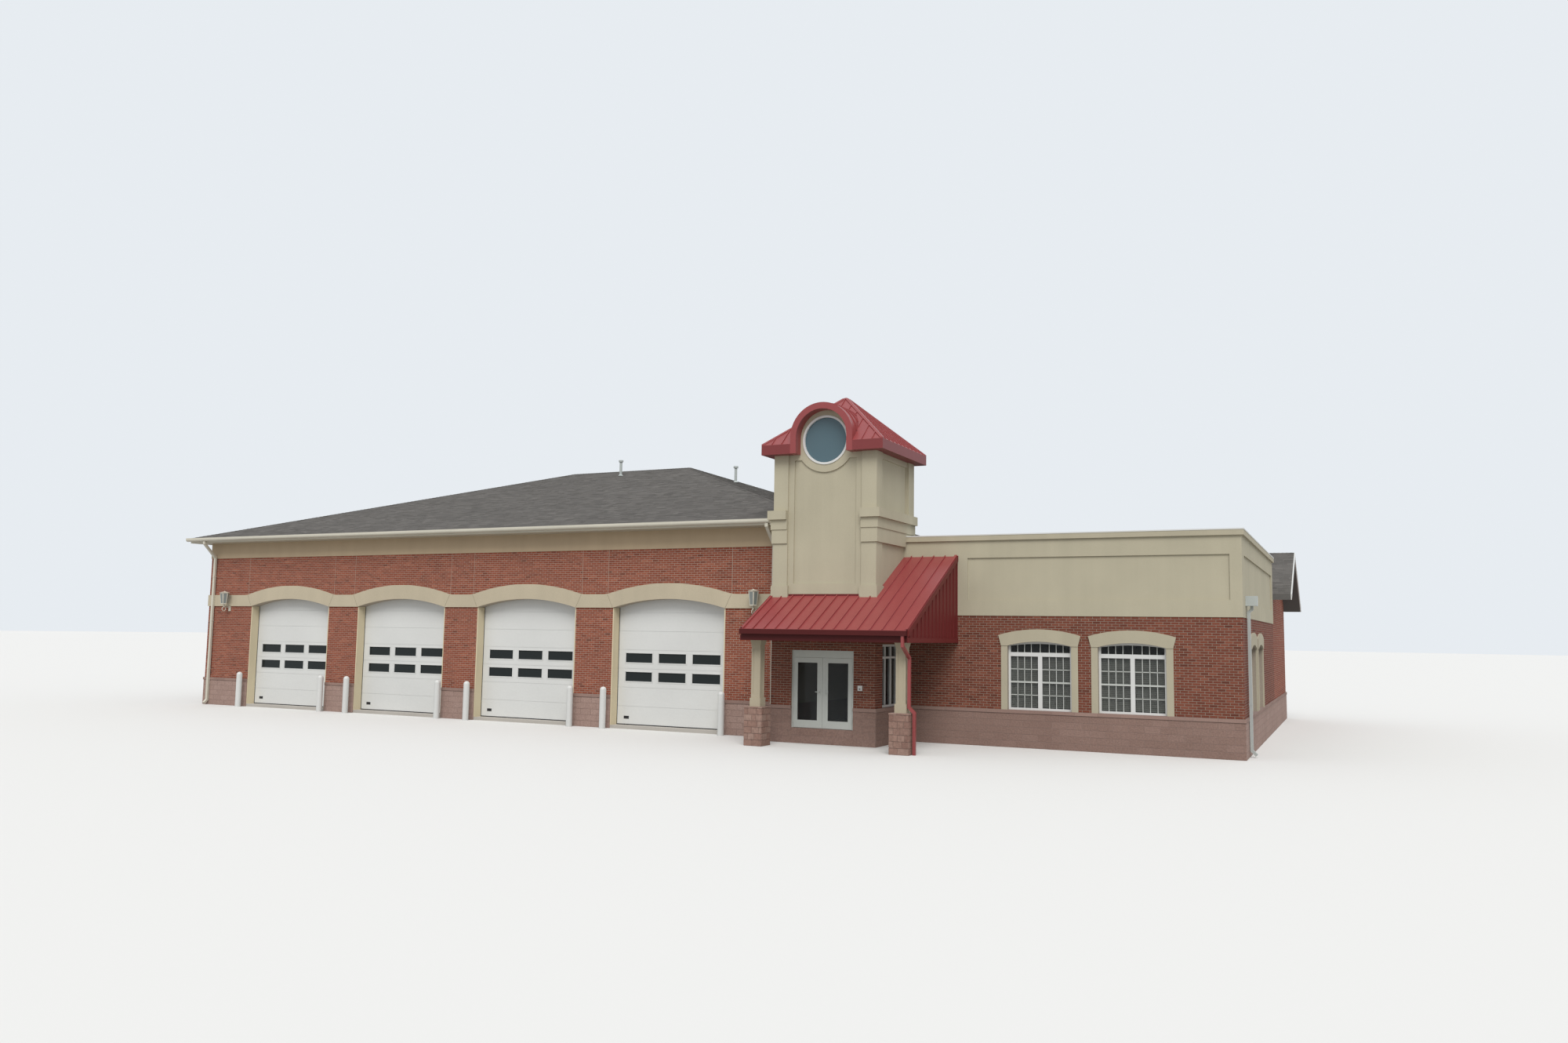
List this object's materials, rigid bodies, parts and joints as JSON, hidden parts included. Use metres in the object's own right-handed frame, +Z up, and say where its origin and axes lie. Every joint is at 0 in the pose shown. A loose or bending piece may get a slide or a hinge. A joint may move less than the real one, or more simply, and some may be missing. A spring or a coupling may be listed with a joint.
{
  "type": "fire station building",
  "caption": "Fire station with arched apparatus bays under a hipped roof, a stucco entrance tower with a round window, a canopy on columns and a flat-roofed brick office wing.",
  "frame": {"origin": "left front outer corner of the bay walls at ground level", "axes": "+X along the front to the right, +Y from the front into the building, +Z up"},
  "size_m": [38.867, 23.459, 10.0726],
  "materials": {
    "brick": "matt red-brown face brick in a running bond",
    "block_base": "rough split-face block",
    "cast_stone": "matt pale tan cast stone",
    "stucco_tan": "matt tan stucco",
    "shingles": "matt brown-grey shingles",
    "red_metal": "satin red standing seam metal",
    "white_metal": "satin white",
    "cream_metal": "satin cream",
    "aluminium": "satin",
    "clear_glass": "clear",
    "concrete": "matt concrete",
    "dark_metal": "satin dark grey"
  },
  "bodies": {
    "building": {"base_caps": "cast_stone", "base_walls": "block_base", "bay_arch_bands": "stucco_tan", "bay_door_linings": "stucco_tan", "bay_downspouts": "cream_metal", "bay_floor": "concrete", "bay_friezes": "stucco_tan", "bay_gutter": "cream_metal", "bay_headers": "brick", "bay_piers": "brick", "bay_roof": "shingles", "bay_side_walls": "brick", "bay_soffit": "cream_metal", "bollards": "white_metal", "canopy_apron": "red_metal", "canopy_column_bases": "block_base", "canopy_columns": "stucco_tan", "canopy_downspout": "red_metal", "canopy_gutter": "red_metal", "canopy_roof": "red_metal", "canopy_soffit": "cream_metal", "entrance_frame": "aluminium", "entrance_hinges": "aluminium", "entrance_lintel": "brick", "entrance_walls": "brick", "office_downspout": "white_metal", "office_floor": "concrete", "office_roof_deck": "dark_metal", "office_upper_walls": "stucco_tan", "office_walls": "brick", "overhead_door_glass": "clear_glass", "overhead_doors": "white_metal", "parapet_coping": "stucco_tan", "rear_wing_rake_boards": "white_metal", "rear_wing_roof": "shingles", "rear_wing_walls": "brick", "roof_vents": "white_metal", "tower_arch_hood": "red_metal", "tower_cornice": "stucco_tan", "tower_fascia": "red_metal", "tower_front_wall": "stucco_tan", "tower_pilasters": "stucco_tan", "tower_roof": "red_metal", "tower_shaft": "stucco_tan", "tower_window_ring": "white_metal", "wall_lanterns": "cream_metal", "window_frames": "white_metal", "window_glass": "clear_glass", "window_trim": "stucco_tan"},
    "entrance_leaf_left": {"entrance_door_left": "aluminium", "entrance_door_left_glass": "clear_glass", "entrance_handle_left": "aluminium"},
    "entrance_leaf_right": {"entrance_door_right": "aluminium", "entrance_door_right_glass": "clear_glass", "entrance_handle_right": "aluminium"}
  },
  "joints": [
    {"name": "entrance_left_hinge", "type": "hinge", "parent": "building", "child": "entrance_leaf_left", "pos_m": [25.8865, -1.047, 1.5], "axis": [0, 0, -1], "range_deg": [0, 90]},
    {"name": "entrance_right_hinge", "type": "hinge", "parent": "building", "child": "entrance_leaf_right", "pos_m": [27.6785, -1.047, 1.5], "axis": [0, 0, 1], "range_deg": [0, 90]}
  ]
}
